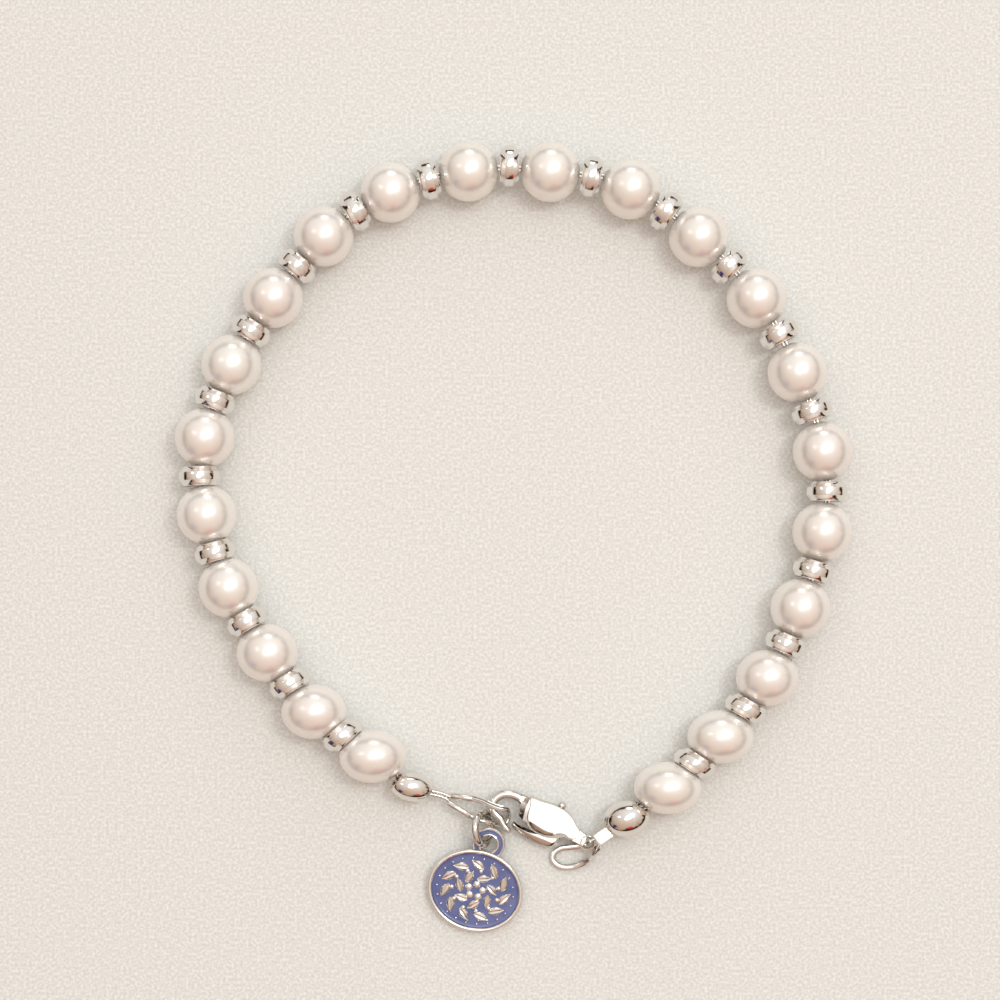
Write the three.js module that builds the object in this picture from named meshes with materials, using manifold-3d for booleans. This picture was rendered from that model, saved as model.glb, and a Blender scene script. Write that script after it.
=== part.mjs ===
// A pearl bracelet that lies as a closed loop on a flat surface: drilled pearls and banded silver
// spacers on a fine cable, wire guards at both ends, a lobster clasp and a small enamelled tag.
// Lengths are in millimetres, +Z is up, the bracelet rests on z = 0 and its clasp is towards -Y.
import * as THREE from 'three';
import { mergeVertices } from 'three/addons/utils/BufferGeometryUtils.js';
import Module from 'manifold-3d';

const wasm = await Module();
wasm.setup();

// Pearls and the spacers between them
const pearlCount = 22;
const pearlDiameter = 5.0;
const pearlHole = 0.84;
const spacerDiameter = 3.42;
const spacerBandWidth = 0.74;
const spacerWidth = 1.62;
const spacerShoulderDiameter = 2.7;
const spacerHole = 1.1;
const cupClearance = 0.1;
const beadGap = 0.05;
const meanPlay = 0.727;

// The pearls beside the clasp are slightly oval in plan, wider along X than along Y by this share
const ovalExcess = 0.29;

// Cover beads, cable and crimp
const coverBeads = {
  left: { length: 3.4, diameter: 2.7, hole: 1.4, centreHeight: 1.95, seatGap: 0.36 },
  right: { length: 3.7, diameter: 3.28, hole: 1.5, centreHeight: 2.25, seatGap: 0.24 },
};
const cableDiameter = 0.4;
const crimpLength = 1.45;
const crimpWidth = 1.1;
const crimpThickness = 0.72;
const crimpHeight = 2.02;
const crimpTurn = 34.9;

// Clearance between neighbouring walls
const wallGap = 0.08;

// Wire guards: a bent wire whose two ends are short sleeves
const guardWire = 0.42;
const guardSleeve = 0.52;
const floorGap = 0.05;

// Lobster clasp
const claspThickness = 2.2;
const claspHalfWidth = 1.75;
const claspLength = 6.94;
const claspTurn = -24.6;
const clawRadius = 1.2;
const clawWidth = 0.7;
const clawThickness = 0.94;
const clawDrop = 0.12;
const eyeletDiameter = 1.36;
const eyeletHole = 0.8;
const eyeletThickness = 0.86;
const slotWidth = 0.9;
const leverThickness = 0.7;
const leverWidth = 0.62;
const knobDiameter = 0.74;
const pinDiameter = 0.44;
const hubDiameter = 1.1;
const claspBevel = 0.22;

// Jump ring and tag
const ringDiameter = 3.26;
const ringWire = 0.6;
const ringLean = 59;
const ringTurn = 4;
const ringFromClaw = [-2.42, -1.7, 1.45];
const tagWidth = 8.08;
const tagHeight = 6.95;
const tagThickness = 0.9;
const tagFloor = 0.5;
const tagRim = 0.34;
const reliefHeight = 0.34;
const enamelDepth = 0.16;
const enamelGap = 0.04;
const earDiameter = 2.8;
const earHole = 1.46;
const earReach = 4.1;
const earThickness = 0.64;
const earRim = 0.2;
const earHoleRim = 0.15;
const tagTurn = -16;
const tagLift = 5.9;
const earFromClaw = [-1.941, -2.937];

// Sides of the round pieces
const beadSides = 12;
const wireSides = 6;

// The loop of the string, from the pearl at the left of the clasp round to the one at its right.
// Chosen points at pearl centres, in plan.
const loopPoints = [
  [-11.66, -18.26], [-16.64, -14.47], [-23.58, -4.43], [-25.49, 1.74], [-25.66, 8.37], [-23.38, 14.51],
  [-15.84, 25.0], [-10.37, 28.66], [-3.8, 30.48], [2.81, 30.49], [9.68, 29.06], [20.4, 19.78],
  [25.8, 7.18], [25.8, 0.51], [21.18, -11.72], [12.92, -20.87],
];

// Play between neighbouring pearls, as shares that rise from the left end and fall to the right end
const playProfile = [
  { gap: 1, share: 0.43 },
  { gap: 15, share: 1.68 },
  { gap: 21, share: 0.34 },
];

// Spacers that have slipped outwards in the loop, as shares of their diameter
const slippedSpacers = [
  { spacer: 5, outward: 0.08 },
  { spacer: 11, outward: 0.08 },
];

const steel = { color: 0xc9c6c2, roughness: 0.16, metalness: 1 };
const silver = { color: 0xe4dfd8, roughness: 0.12, metalness: 1 };
const pearlCream = { color: 0xeee3d8, roughness: 0.22, metalness: 0 };
const enamelBlue = { color: 0x5f6ba6, roughness: 0.3, metalness: 0 };

const up = new THREE.Vector3(0, 0, 1);
const latheAxis = new THREE.Vector3(0, 1, 0);
const vec = (x, y, z = 0) => new THREE.Vector3(x, y, z);
const turned = (point, angle) => point.clone().applyAxisAngle(up, angle);

function named(name, geometry, look) {
  const mesh = new THREE.Mesh(geometry, new THREE.MeshStandardMaterial(look));
  mesh.name = name;
  return mesh;
}

// Joins the shared vertices of a closed geometry and hands it over as a solid
function toSolid(geometry, matrix = new THREE.Matrix4()) {
  const bare = geometry.clone().applyMatrix4(matrix);
  bare.deleteAttribute('normal');
  bare.deleteAttribute('uv');
  const merged = mergeVertices(bare, 1e-5);
  return new wasm.Manifold(new wasm.Mesh({
    numProp: 3,
    vertProperties: new Float32Array(merged.attributes.position.array),
    triVerts: new Uint32Array(merged.index.array),
  }));
}

function toGeometry(solid) {
  const mesh = solid.getMesh();
  const geometry = new THREE.BufferGeometry();
  geometry.setAttribute('position', new THREE.BufferAttribute(mesh.vertProperties, 3));
  geometry.setIndex(new THREE.BufferAttribute(mesh.triVerts, 1));
  geometry.computeVertexNormals();
  return geometry;
}

// A ring-shaped bead turned from half its section: the profile closes on itself at the hole
function turnedBead(profile, sides = beadSides) {
  const closed = [...profile, profile[0]].map(([r, y]) => new THREE.Vector2(r, y));
  return new THREE.LatheGeometry(closed, sides);
}

function ovalProfile(length, diameter, hole, segments) {
  const end = Math.acos(hole / diameter);
  return Array.from({ length: segments + 1 }, (_, i) => {
    const angle = THREE.MathUtils.lerp(-end, end, i / segments);
    return [diameter / 2 * Math.cos(angle), length / 2 * Math.sin(angle)];
  });
}

function pearlGeometry() {
  return turnedBead(ovalProfile(pearlDiameter, pearlDiameter, pearlHole, 8));
}

function spacerGeometry() {
  const [hole, shoulder, band] = [spacerHole / 2, spacerShoulderDiameter / 2, spacerDiameter / 2];
  const half = spacerWidth / 2;
  const pearlReach = (radius) => reachAt(pearlDiameter, pearlDiameter, radius);
  const cupDepth = pearlReach(hole) - pearlReach(shoulder) + cupClearance;
  const side = [[hole, half - cupDepth], [shoulder, half], [band, spacerBandWidth / 2]];
  return turnedBead([...side.map(([r, y]) => [r, -y]), ...side.reverse()]);
}

// How far along its axis a round bead reaches at a given distance from the axis
const reachAt = (length, diameter, radius) => length / 2 * Math.sqrt(1 - (2 * radius / diameter) ** 2);

// The section of a round wire or tube
function wireSection(diameter, sides = wireSides) {
  const shape = new THREE.Shape();
  for (let i = 0; i < sides; i++) {
    const angle = 2 * Math.PI * i / sides;
    const [x, y] = [diameter / 2 * Math.cos(angle), diameter / 2 * Math.sin(angle)];
    if (i === 0) shape.moveTo(x, y);
    else shape.lineTo(x, y);
  }
  shape.closePath();
  return shape;
}

function wireAlong(curve, diameter, steps, sides = wireSides) {
  return new THREE.ExtrudeGeometry(wireSection(diameter, sides), { steps, extrudePath: curve });
}

function slab(shape, thickness, middle, bevel = 0) {
  const geometry = new THREE.ExtrudeGeometry(shape, {
    depth: thickness - 2 * bevel, bevelEnabled: bevel > 0, bevelThickness: bevel,
    bevelSize: bevel, bevelOffset: -bevel, bevelSegments: 1, curveSegments: 5,
  });
  return geometry.translate(0, 0, middle - thickness / 2 + bevel);
}

function outline(points) {
  const shape = new THREE.Shape();
  shape.moveTo(...points[0]);
  points.slice(1).forEach((point) => shape.lineTo(...point));
  shape.closePath();
  return shape;
}

function disc(radius, x = 0, y = 0, sides = 16) {
  const points = Array.from({ length: sides }, (_, i) => {
    const angle = 2 * Math.PI * (i + 0.5) / sides;
    return [x + radius * Math.cos(angle), y + radius * Math.sin(angle)];
  });
  return outline(points);
}

// Clasp, in its own frame: the claw's centre at the origin, the tail along +X, the spine towards +Y
const claspMiddle = claspThickness / 2;
const clawTip = vec(clawRadius * 0.42, -clawRadius * 1.52);
const pivot = vec(claspLength * 0.59, -claspHalfWidth * 0.2);
const eyeletCentre = vec(claspLength, 0);

// The side walls, as shares of the clasp's length along and of its half width across
const cheekOutline = [
  { along: 0.145, across: 0.87 }, { along: 0.29, across: 0.95 }, { along: 0.44, across: 1.02 },
  { along: 0.58, across: 1.0 }, { along: 0.7, across: 0.84 }, { along: 0.79, across: 0.57 },
  { along: 0.86, across: 0.36 }, { along: 0.875, across: 0.12 }, { along: 0.84, across: -0.1 },
  { along: 0.76, across: -0.24 }, { along: 0.7, across: -0.25 }, { along: 0.62, across: -0.46 },
  { along: 0.5, across: -0.6 }, { along: 0.33, across: -0.56 }, { along: 0.22, across: -0.36 },
  { along: 0.185, across: 0.0 }, { along: 0.2, across: 0.5 },
].map(({ along, across }) => [along * claspLength, across * claspHalfWidth]);

function clawSolid() {
  const [outer, inner] = [clawRadius + clawWidth / 2, clawRadius - clawWidth / 2];
  const arc = (radius, from, to, steps) => Array.from({ length: steps + 1 }, (_, i) => {
    const angle = THREE.MathUtils.degToRad(THREE.MathUtils.lerp(from, to, i / steps));
    return [radius * Math.cos(angle), radius * Math.sin(angle) - clawDrop];
  });
  const tip = clawWidth * 0.45;
  const beak = [
    [clawTip.x - tip * 0.75, clawTip.y - tip * 0.85], [clawTip.x + tip * 0.3, clawTip.y - tip],
    [clawTip.x + tip, clawTip.y], [clawTip.x + tip * 0.7, clawTip.y + tip * 0.75],
  ];
  const hook = outline([...arc(outer, 60, 240, 10), ...beak, ...arc(inner, 262, 50, 9)]);
  const shoulder = outline([
    [0, inner - clawDrop + clawWidth * 0.12], [inner * 0.75, inner * 0.72 - clawDrop], [inner * 1.15, 0],
    [claspLength * 0.25, 0], [claspLength * 0.25, claspHalfWidth * 0.86], [0, outer - clawDrop],
  ]);
  return toSolid(slab(hook, clawThickness, claspMiddle, clawWidth * 0.2))
    .add(toSolid(slab(shoulder, clawThickness, claspMiddle)));
}

function tailSolid() {
  const neck = outline([
    [claspLength * 0.8, -eyeletDiameter * 0.24], [claspLength, -eyeletDiameter * 0.42],
    [claspLength, eyeletDiameter * 0.45], [claspLength * 0.8, eyeletDiameter * 0.6],
  ]);
  return toSolid(slab(neck, eyeletThickness, claspMiddle))
    .add(toSolid(slab(disc(eyeletDiameter / 2, claspLength, 0), eyeletThickness, claspMiddle)))
    .subtract(toSolid(slab(disc(eyeletHole / 2, claspLength, 0, 12), claspThickness, claspMiddle)));
}

function claspBodyGeometry() {
  const cheeks = toSolid(slab(outline(cheekOutline), claspThickness, claspMiddle, claspBevel));
  const slot = toSolid(slab(outline([
    [clawRadius * 0.84, -2 * claspHalfWidth], [claspLength * 0.76, -2 * claspHalfWidth],
    [claspLength * 0.745, 2 * claspHalfWidth], [claspLength * 0.445, 2 * claspHalfWidth],
    [claspLength * 0.42, claspHalfWidth * 0.42], [clawRadius * 0.84, claspHalfWidth * 0.3],
  ]), slotWidth, claspMiddle));
  const bore = toSolid(slab(disc(pinDiameter / 2 + wallGap, pivot.x, pivot.y, 12), 2 * claspThickness,
    claspMiddle));
  return toGeometry(clawSolid().add(tailSolid()).add(cheeks).subtract(slot).subtract(bore));
}

function claspLeverGeometry() {
  const nose = vec(clawRadius * 0.51, -clawRadius * 0.94);
  const half = leverWidth / 2;
  const knob = vec(claspLength * 0.537, claspHalfWidth * 1.1);
  const arm = outline([
    [nose.x - half * 0.6, nose.y - half * 0.35], [nose.x + half * 0.3, nose.y - half],
    [claspLength * 0.3, -claspHalfWidth * 0.99], [claspLength * 0.52, -claspHalfWidth],
    [claspLength * 0.64, -claspHalfWidth * 0.9], [claspLength * 0.68, -claspHalfWidth * 0.6],
    [pivot.x + hubDiameter / 2, pivot.y + half * 0.4], [knob.x + half * 0.7, knob.y - half],
    [knob.x - half * 0.7, knob.y - half], [pivot.x - hubDiameter / 2, pivot.y + half * 0.3],
    [claspLength * 0.4, -claspHalfWidth * 0.52], [claspLength * 0.22, -claspHalfWidth * 0.6],
    [nose.x, nose.y + half * 0.75], [nose.x - half * 0.6, nose.y + half * 0.35],
  ]);
  const ball = new THREE.SphereGeometry(knobDiameter / 2, 10, 6).rotateX(Math.PI / 2);
  const ballPlace = new THREE.Matrix4().makeTranslation(knob.x, knob.y, claspMiddle);
  const bore = slab(disc(pinDiameter / 2 + wallGap, pivot.x, pivot.y, 12), claspThickness, claspMiddle);
  return toGeometry(toSolid(slab(arm, leverThickness, claspMiddle, leverWidth * 0.12))
    .add(toSolid(ball, ballPlace)).subtract(toSolid(bore)));
}

function claspPinGeometry() {
  const pin = new THREE.CylinderGeometry(pinDiameter / 2, pinDiameter / 2, claspThickness, 12);
  return pin.rotateX(Math.PI / 2).translate(pivot.x, pivot.y, claspMiddle);
}

// Where the claw's centre and the eyelet lie on the table
const clawCentre = vec(-0.075, -22.63);
const claspAngle = THREE.MathUtils.degToRad(claspTurn);
const eyeletOnTable = turned(eyeletCentre, claspAngle).add(clawCentre);

// A bent wire guard: sleeves on its first and last span. Points are [x, y, z] from a given centre.
function guardGeometry(centre, points) {
  const places = points.map(([x, y, z]) => vec(x, y, z).add(centre));
  const curve = new THREE.CatmullRomCurve3(places, false, 'centripetal');
  const sleeve = (from, to) => {
    const span = to.clone().sub(from);
    const tube = new THREE.CylinderGeometry(guardSleeve / 2, guardSleeve / 2, span.length(), 8);
    const turn = new THREE.Quaternion().setFromUnitVectors(latheAxis, span.clone().normalize());
    const middle = from.clone().add(to).multiplyScalar(0.5);
    return toSolid(tube, new THREE.Matrix4().compose(middle, turn, vec(1, 1, 1)));
  };
  return toGeometry(toSolid(wireAlong(curve, guardWire, 34))
    .add(sleeve(places[0], places[1])).add(sleeve(places.at(-2), places.at(-1))));
}

// Heights at which a guard's wire passes over and under the claw, and lies on the table
const overClaw = claspMiddle + clawThickness / 2 + guardWire / 2 + 2 * wallGap;
const onTable = guardWire / 2 + floorGap;
const leftMouthHeight = 1.4;

// The left guard goes over the claw, down through its opening and back under it
const leftGuardPoints = [
  [-5.08, 1.04, leftMouthHeight], [-3.29, 0.83, overClaw - 0.25], [-2.33, 0.54, overClaw - 0.06],
  [-1.67, 0.25, overClaw], [-1.08, 0.04, overClaw], [-0.63, -0.08, overClaw - 0.1],
  [-0.34, -0.24, claspMiddle + 0.25], [-0.24, -0.4, claspMiddle - 0.35], [-0.3, -0.82, onTable],
  [-0.54, -1.28, onTable], [-1.0, -1.43, onTable + 0.1], [-1.46, -1.32, onTable + 0.52],
  [-2.03, -1.15, leftMouthHeight - 0.1], [-2.67, -1.02, leftMouthHeight + 0.04],
  [-3.42, -0.67, leftMouthHeight], [-5.33, 0.46, leftMouthHeight],
];

// The right guard leaves the crimp, drops through the clasp's eyelet and bows out below it
const rightGuardPoints = [
  [0.31, 0.22, crimpHeight], [0.15, 0.11, crimpHeight - 0.02], [0.02, 0.01, crimpHeight - 0.3],
  [-0.02, -0.02, claspMiddle], [-0.1, -0.08, onTable + 0.22], [-0.4, -0.24, onTable],
  [-0.86, -0.34, onTable], [-1.5, -0.42, onTable], [-2.25, -0.54, onTable], [-2.75, -0.89, onTable],
  [-2.92, -1.42, onTable], [-2.54, -1.94, onTable], [-1.83, -2.17, onTable], [-0.95, -2.05, onTable + 0.05],
  [-0.28, -1.75, onTable + 0.25], [0.26, -1.36, crimpHeight - 1.05], [0.81, -0.43, crimpHeight],
];

// The string's route: a lead from the left guard, the loop of pearls and a lead to the right guard
const leftMouth = vec(-5.48, 0.83, leftMouthHeight).add(clawCentre);
const leftLead = [
  leftMouth, vec(-6.67, 1.5, 1.68).add(clawCentre),
  vec(-8.5, 1.875, coverBeads.left.centreHeight).add(clawCentre),
];
const crimpCentre = vec(1.3, 0.59, crimpHeight).add(eyeletOnTable);
const crimpDirection = turned(vec(1, 0), THREE.MathUtils.degToRad(crimpTurn));
const rightLead = [
  vec(3.4, 2.21, coverBeads.right.centreHeight).add(eyeletOnTable),
  crimpCentre.clone().addScaledVector(crimpDirection, crimpLength / 2), crimpCentre,
  crimpCentre.clone().addScaledVector(crimpDirection, -crimpLength / 2),
];

// The tightest pitch that pearl and spacer allow, and the play that the string is laid out with
const spacerSeat = spacerWidth / 2 + reachAt(pearlDiameter, pearlDiameter, spacerShoulderDiameter / 2);
const tightPitch = 2 * spacerSeat + beadGap;
const pearlsLength = (pearlCount - 1) * (tightPitch + meanPlay);
const drawnPearlsLength = 138.7;
const loopScale = pearlsLength / drawnPearlsLength;

function stringRoute() {
  const middle = leftMouth.clone().add(crimpCentre).multiplyScalar(0.5).setZ(0);
  const loop = loopPoints.map(([x, y]) => vec(x, y).sub(middle).multiplyScalar(loopScale).add(middle)
    .setZ(pearlDiameter / 2));
  const route = new THREE.CatmullRomCurve3([...leftLead, ...loop, ...rightLead], false, 'centripetal');
  route.arcLengthDivisions = 3000;
  return route;
}

// How oval a bead at this place is in plan: round above the first distance, fully oval below the second
const ovalFrom = -5.2;
const ovalFull = -21;

function ovalScale(place) {
  const [from, full] = [ovalFrom, ovalFull].map((y) => y * loopScale);
  const excess = ovalExcess * THREE.MathUtils.smoothstep(-place.y, -from, -full);
  return vec(Math.sqrt(1 + excess), 1 / Math.sqrt(1 + excess), 1);
}

// A bead threaded on the route, its hole along the string
function threaded(name, geometry, look, place, direction) {
  const scale = ovalScale(place);
  const mesh = named(name, geometry, look);
  mesh.quaternion.setFromUnitVectors(latheAxis, direction.clone().divide(scale).normalize());
  const seat = new THREE.Group();
  seat.position.copy(place);
  seat.scale.copy(scale);
  seat.add(mesh);
  return seat;
}

// Share of the play at each gap between pearls, from the profile's rows
function playShares() {
  const lastGap = playProfile.at(-1).gap;
  const rows = playProfile.map(({ gap, share }) => ({
    at: (gap - 1) / (lastGap - 1) * (pearlCount - 2), share,
  }));
  const shares = Array.from({ length: pearlCount - 1 }, (_, i) => {
    const next = rows.findIndex(({ at }, k) => k > 0 && i <= at + 1e-9);
    const [a, b] = [rows[next - 1], rows[next]];
    return THREE.MathUtils.mapLinear(i, a.at, b.at, a.share, b.share);
  });
  const sum = shares.reduce((total, share) => total + share, 0);
  return shares.map((share) => share / sum);
}

// Route length at which the curve passes closest to a place
function stationOf(route, place) {
  const length = route.getLength();
  let best = { distance: Infinity, station: 0 };
  for (let i = 0; i <= 4000; i++) {
    const distance = route.getPointAt(i / 4000).distanceTo(place);
    if (distance < best.distance) best = { distance, station: length * i / 4000 };
  }
  return best.station;
}

const pearlName = (index) => `pearl_${String(index).padStart(2, '0')}`;
const spacerName = (index) => `spacer_${String(index).padStart(2, '0')}`;

function beadString() {
  const string = new THREE.Group();
  const route = stringRoute();
  const length = route.getLength();
  const at = (station) => {
    const share = THREE.MathUtils.clamp(station / length, 0, 1);
    return { place: route.getPointAt(share), direction: route.getTangentAt(share) };
  };
  const firstPearl = stationOf(route, route.points[leftLead.length]);
  const lastPearl = stationOf(route, route.points[route.points.length - 1 - rightLead.length]);
  const play = lastPearl - firstPearl - (pearlCount - 1) * tightPitch;
  const cablePoints = [at(0).place, route.points[1].clone()];

  // The cable runs straight through each bead
  const thread = ({ place, direction }, reach) => {
    cablePoints.push(place.clone().addScaledVector(direction, -reach));
    cablePoints.push(place.clone().addScaledVector(direction, reach));
  };
  const cover = (side, station, sign) => {
    const { length: size, diameter, hole, seatGap } = coverBeads[side];
    const seat = reachAt(pearlDiameter, pearlDiameter, hole / 2) + reachAt(size, diameter, hole / 2);
    const spot = at(station + sign * (seat + seatGap));
    const geometry = turnedBead(ovalProfile(size, diameter, hole, 6), 14);
    string.add(threaded(`cover_bead_${side}`, geometry, silver, spot.place, spot.direction));
    thread(spot, size / 4);
  };

  cover('left', firstPearl, -1);
  let station = firstPearl;
  playShares().concat(0).forEach((share, i) => {
    const pearl = at(station);
    string.add(threaded(pearlName(i + 1), pearlGeometry(), pearlCream, pearl.place, pearl.direction));
    thread(pearl, pearlDiameter * 0.4);
    if (i === pearlCount - 1) return;
    const pitch = tightPitch + play * share;
    const spacer = at(station + pitch / 2);
    const slip = slippedSpacers.find((row) => row.spacer === i + 1);
    const outward = turned(spacer.direction, Math.PI / 2);
    const place = spacer.place.clone().addScaledVector(outward, slip ? slip.outward * spacerDiameter : 0);
    string.add(threaded(spacerName(i + 1), spacerGeometry(), silver, place, spacer.direction));
    station += pitch;
  });
  cover('right', station, 1);

  cablePoints.push(...rightLead.slice(1));
  const cable = new THREE.CatmullRomCurve3(cablePoints, false, 'centripetal');
  cable.arcLengthDivisions = 3000;
  string.add(named('bead_cable', wireAlong(cable, cableDiameter, 110), steel));
  return string;
}

// A flattened tube round the cable
function crimpMesh() {
  const corner = crimpThickness * 0.28;
  const [w, t] = [crimpWidth / 2, crimpThickness / 2];
  const section = outline([
    [-w, -t + corner], [-w + corner, -t], [w - corner, -t], [w, -t + corner],
    [w, t - corner], [w - corner, t], [-w + corner, t], [-w, t - corner],
  ]);
  section.holes.push(disc(cableDiameter / 2 + wallGap * 0.8, 0, 0, 8));
  const tube = new THREE.ExtrudeGeometry(section, { depth: crimpLength, bevelEnabled: false, steps: 1 });
  tube.translate(0, 0, -crimpLength / 2);
  const mesh = named('crimp_tube', tube, silver);
  const side = turned(crimpDirection, Math.PI / 2);
  mesh.quaternion.setFromRotationMatrix(new THREE.Matrix4().makeBasis(side, up, crimpDirection));
  mesh.position.copy(crimpCentre);
  return mesh;
}

function claspGroup() {
  const clasp = new THREE.Group();
  clasp.add(
    named('clasp_body', claspBodyGeometry(), steel),
    named('clasp_lever', claspLeverGeometry(), steel),
    named('clasp_pin', claspPinGeometry(), steel),
  );
  clasp.position.copy(clawCentre);
  clasp.rotation.z = claspAngle;
  return clasp;
}

// The ring stands at a lean, its low side to the right, through the tag's ear and the left guard
function jumpRingMesh() {
  const ring = new THREE.TorusGeometry((ringDiameter - ringWire) / 2, ringWire / 2, wireSides, 20);
  const mesh = named('jump_ring', ring, steel);
  const lean = THREE.MathUtils.degToRad(ringLean);
  const along = turned(vec(0, 1), THREE.MathUtils.degToRad(ringTurn));
  const across = turned(along, Math.PI / 2).multiplyScalar(Math.cos(lean))
    .addScaledVector(up, Math.sin(lean));
  const normal = new THREE.Vector3().crossVectors(along, across);
  mesh.quaternion.setFromRotationMatrix(new THREE.Matrix4().makeBasis(along, across, normal));
  mesh.position.copy(clawCentre).add(vec(...ringFromClaw));
  return mesh;
}

// Tag, in its own frame: its disc's centre at the origin, the ear along +Y, the back on z = 0
function ellipse(width, height, sides = 28) {
  return outline(Array.from({ length: sides }, (_, i) => {
    const angle = 2 * Math.PI * (i + 0.5) / sides;
    return [width / 2 * Math.cos(angle), height / 2 * Math.sin(angle)];
  }));
}

function leaf(length, width) {
  return outline([[0, 0], [length * 0.35, -width / 2], [length * 0.75, -width * 0.35], [length, 0],
    [length * 0.7, width / 2], [length * 0.3, width * 0.4]]);
}

// A plain relief: two rings of leaves and berries round an open middle. All lengths are shares of the
// tag's width.
const wreath = [
  { count: 11, radius: 0.315, length: 0.115, width: 0.052, slant: 58, start: 0 },
  { count: 7, radius: 0.175, length: 0.1, width: 0.048, slant: -52, start: 20 },
];
const berries = [
  { count: 5, radius: 0.075, size: 0.03, start: 18 },
  { count: 11, radius: 0.245, size: 0.019, start: 24 },
];

function reliefSolids(grow, bottom, top) {
  const squash = tagHeight / tagWidth;
  const place = (angle, radius, turn) => new THREE.Matrix4()
    .makeTranslation(radius * Math.cos(angle), radius * Math.sin(angle) * squash, 0)
    .multiply(new THREE.Matrix4().makeRotationZ(turn));
  const raise = (shape) => slab(shape, top - bottom, (top + bottom) / 2);
  const solids = [];
  wreath.forEach(({ count, radius, length, width, slant, start }) => {
    for (let i = 0; i < count; i++) {
      const angle = THREE.MathUtils.degToRad(start + 360 * i / count);
      const size = length * tagWidth + 2 * grow;
      const shape = raise(leaf(size, width * tagWidth + 2 * grow)).translate(-size / 2, 0, 0);
      const turn = angle + THREE.MathUtils.degToRad(slant);
      solids.push(toSolid(shape, place(angle, radius * tagWidth, turn)));
    }
  });
  berries.forEach(({ count, radius, size, start }) => {
    for (let i = 0; i < count; i++) {
      const angle = THREE.MathUtils.degToRad(start + 360 * i / count);
      const shape = raise(disc(size * tagWidth + grow, 0, 0, 6));
      solids.push(toSolid(shape, place(angle, radius * tagWidth, 0)));
    }
  });
  return solids;
}

function tagGeometry() {
  const face = tagThickness;
  const recess = face - tagFloor;
  const edge = tagThickness * 0.12;
  let tag = toSolid(slab(ellipse(tagWidth, tagHeight), tagThickness, tagThickness / 2, edge));
  const hollow = ellipse(tagWidth - 2 * tagRim, tagHeight - 2 * tagRim);
  const earDisc = disc(earDiameter / 2, 0, earReach, 18);
  tag = tag.add(toSolid(slab(earDisc, earThickness, earThickness / 2)));
  tag = tag.subtract(toSolid(slab(hollow, 2 * recess, face)));
  const earRecess = earRingShape(earDiameter / 2 - earRim, earHole / 2 + earHoleRim);
  tag = tag.subtract(toSolid(slab(earRecess, 2 * enamelDepth, earThickness)).subtract(neckCut()));
  tag = tag.subtract(toSolid(slab(disc(earHole / 2, 0, earReach, 12), 4 * tagThickness, 0)));
  reliefSolids(0, tagFloor - enamelDepth, tagFloor + reliefHeight).forEach((solid) => {
    tag = tag.add(solid);
  });
  return toGeometry(tag);
}

// The part of the ear that the disc's rim covers
function neckCut(grow = 0) {
  return toSolid(slab(ellipse(tagWidth + 2 * grow, tagHeight + 2 * grow), 4 * tagThickness, 0));
}

function earRingShape(outer, inner) {
  const shape = disc(outer, 0, earReach, 18);
  shape.holes.push(disc(inner, 0, earReach, 12));
  return shape;
}

function tagEnamelGeometry() {
  const inset = 2 * (tagRim + enamelGap);
  let enamel = toSolid(slab(ellipse(tagWidth - inset, tagHeight - inset), enamelDepth,
    tagFloor + enamelGap + enamelDepth / 2));
  reliefSolids(enamelGap, tagFloor - enamelDepth, tagThickness).forEach((solid) => {
    enamel = enamel.subtract(solid);
  });
  return toGeometry(enamel);
}

function earEnamelGeometry() {
  const [outer, inner] = [earDiameter / 2 - earRim - enamelGap, earHole / 2 + earHoleRim + enamelGap];
  const shape = earRingShape(outer, inner);
  const depth = enamelDepth - enamelGap;
  return toGeometry(toSolid(slab(shape, depth, earThickness - depth / 2)).subtract(neckCut(enamelGap)));
}

// The tag lies on its far edge, its ear lifted and threaded on the ring
function tagGroup() {
  const tag = new THREE.Group();
  tag.add(
    named('tag', tagGeometry(), silver),
    named('tag_enamel', tagEnamelGeometry(), enamelBlue),
    named('tag_ear_enamel', earEnamelGeometry(), enamelBlue),
  );
  tag.position.set(0, tagHeight / 2, 0);
  const lifted = new THREE.Group();
  lifted.add(tag);
  lifted.rotation.x = THREE.MathUtils.degToRad(tagLift);
  lifted.position.set(0, -tagHeight / 2, 0);
  const laid = new THREE.Group();
  laid.add(lifted);
  laid.rotation.z = THREE.MathUtils.degToRad(tagTurn);
  const earAlong = (tagHeight / 2 + earReach) * Math.cos(lifted.rotation.x) - tagHeight / 2;
  const discFromEar = turned(vec(0, -earAlong), laid.rotation.z);
  laid.position.copy(clawCentre).add(vec(...earFromClaw)).add(discFromEar);
  return laid;
}

const bracelet = new THREE.Group();
bracelet.add(
  beadString(), crimpMesh(), claspGroup(), jumpRingMesh(), tagGroup(),
  named('guard_left', guardGeometry(clawCentre, leftGuardPoints), steel),
  named('guard_right', guardGeometry(eyeletOnTable, rightGuardPoints), steel),
);

// Centres the bracelet in plan and rests it on z = 0
const box = new THREE.Box3().setFromObject(bracelet, true);
const centre = box.getCenter(vec(0, 0));
bracelet.position.set(-centre.x, -centre.y, -box.min.z);

export default bracelet;
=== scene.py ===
import math

import bmesh
import bpy
import numpy as np
from mathutils import Matrix, Quaternion, Vector


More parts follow.
